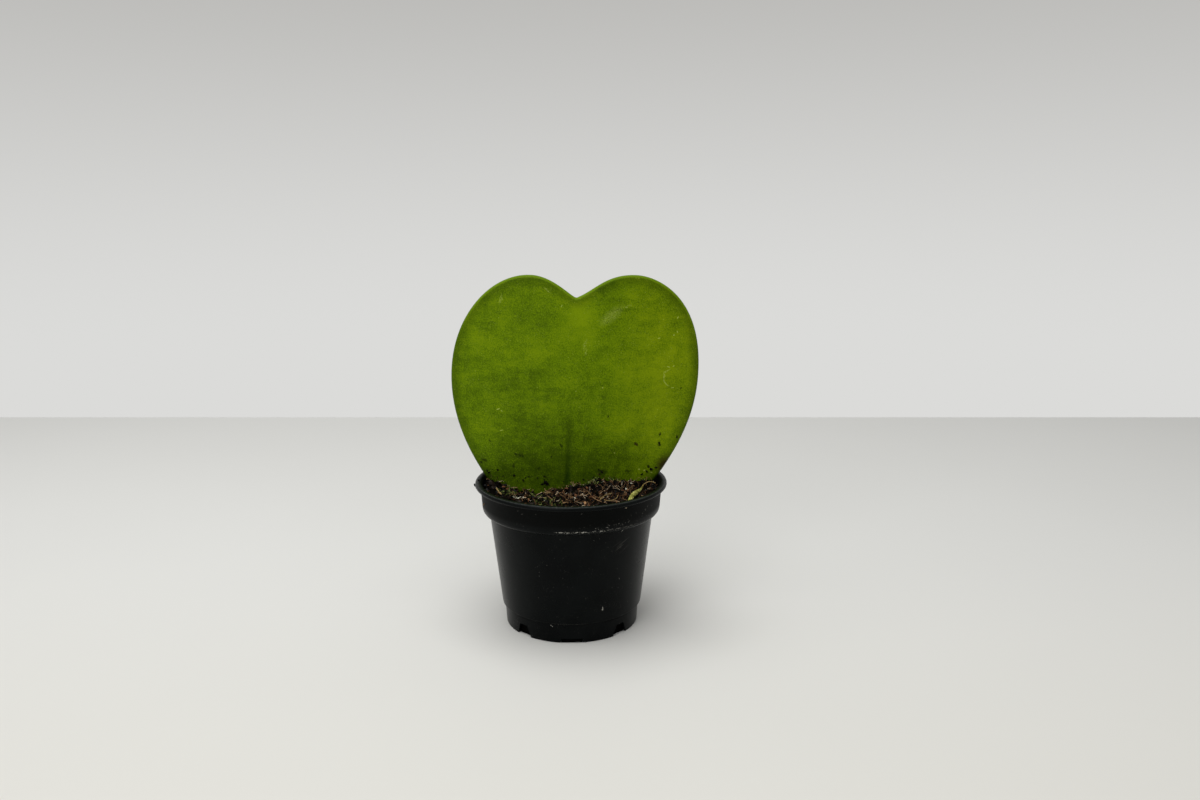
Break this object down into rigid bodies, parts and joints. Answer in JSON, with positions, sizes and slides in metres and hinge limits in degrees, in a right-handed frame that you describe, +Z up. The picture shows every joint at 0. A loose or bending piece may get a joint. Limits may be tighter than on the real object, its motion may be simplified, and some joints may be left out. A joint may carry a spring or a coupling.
{
  "type": "potted hoya plant",
  "caption": "Thick heart-shaped hoya leaf standing upright in potting mix in a small round tapered nursery pot with a rolled lip and a notched foot.",
  "frame": {"origin": "on the table, under the middle of the whole plant's outline; the pot's axis stands 1.2 mm to its left, at x = -1.2 mm", "axes": "+Z up, -Y towards the front of the leaf, +X to the right as seen from the front"},
  "size_m": [0.0828, 0.0636, 0.1158],
  "materials": {
    "pot_plastic": "satin",
    "potting_mix": "matte",
    "leaf_skin": "satin",
    "dry_sprig": "matte"
  },
  "bodies": {
    "root": {"pot": "pot_plastic", "soil": "potting_mix", "leaf": "leaf_skin", "sprig": "dry_sprig"}
  },
  "joints": []
}
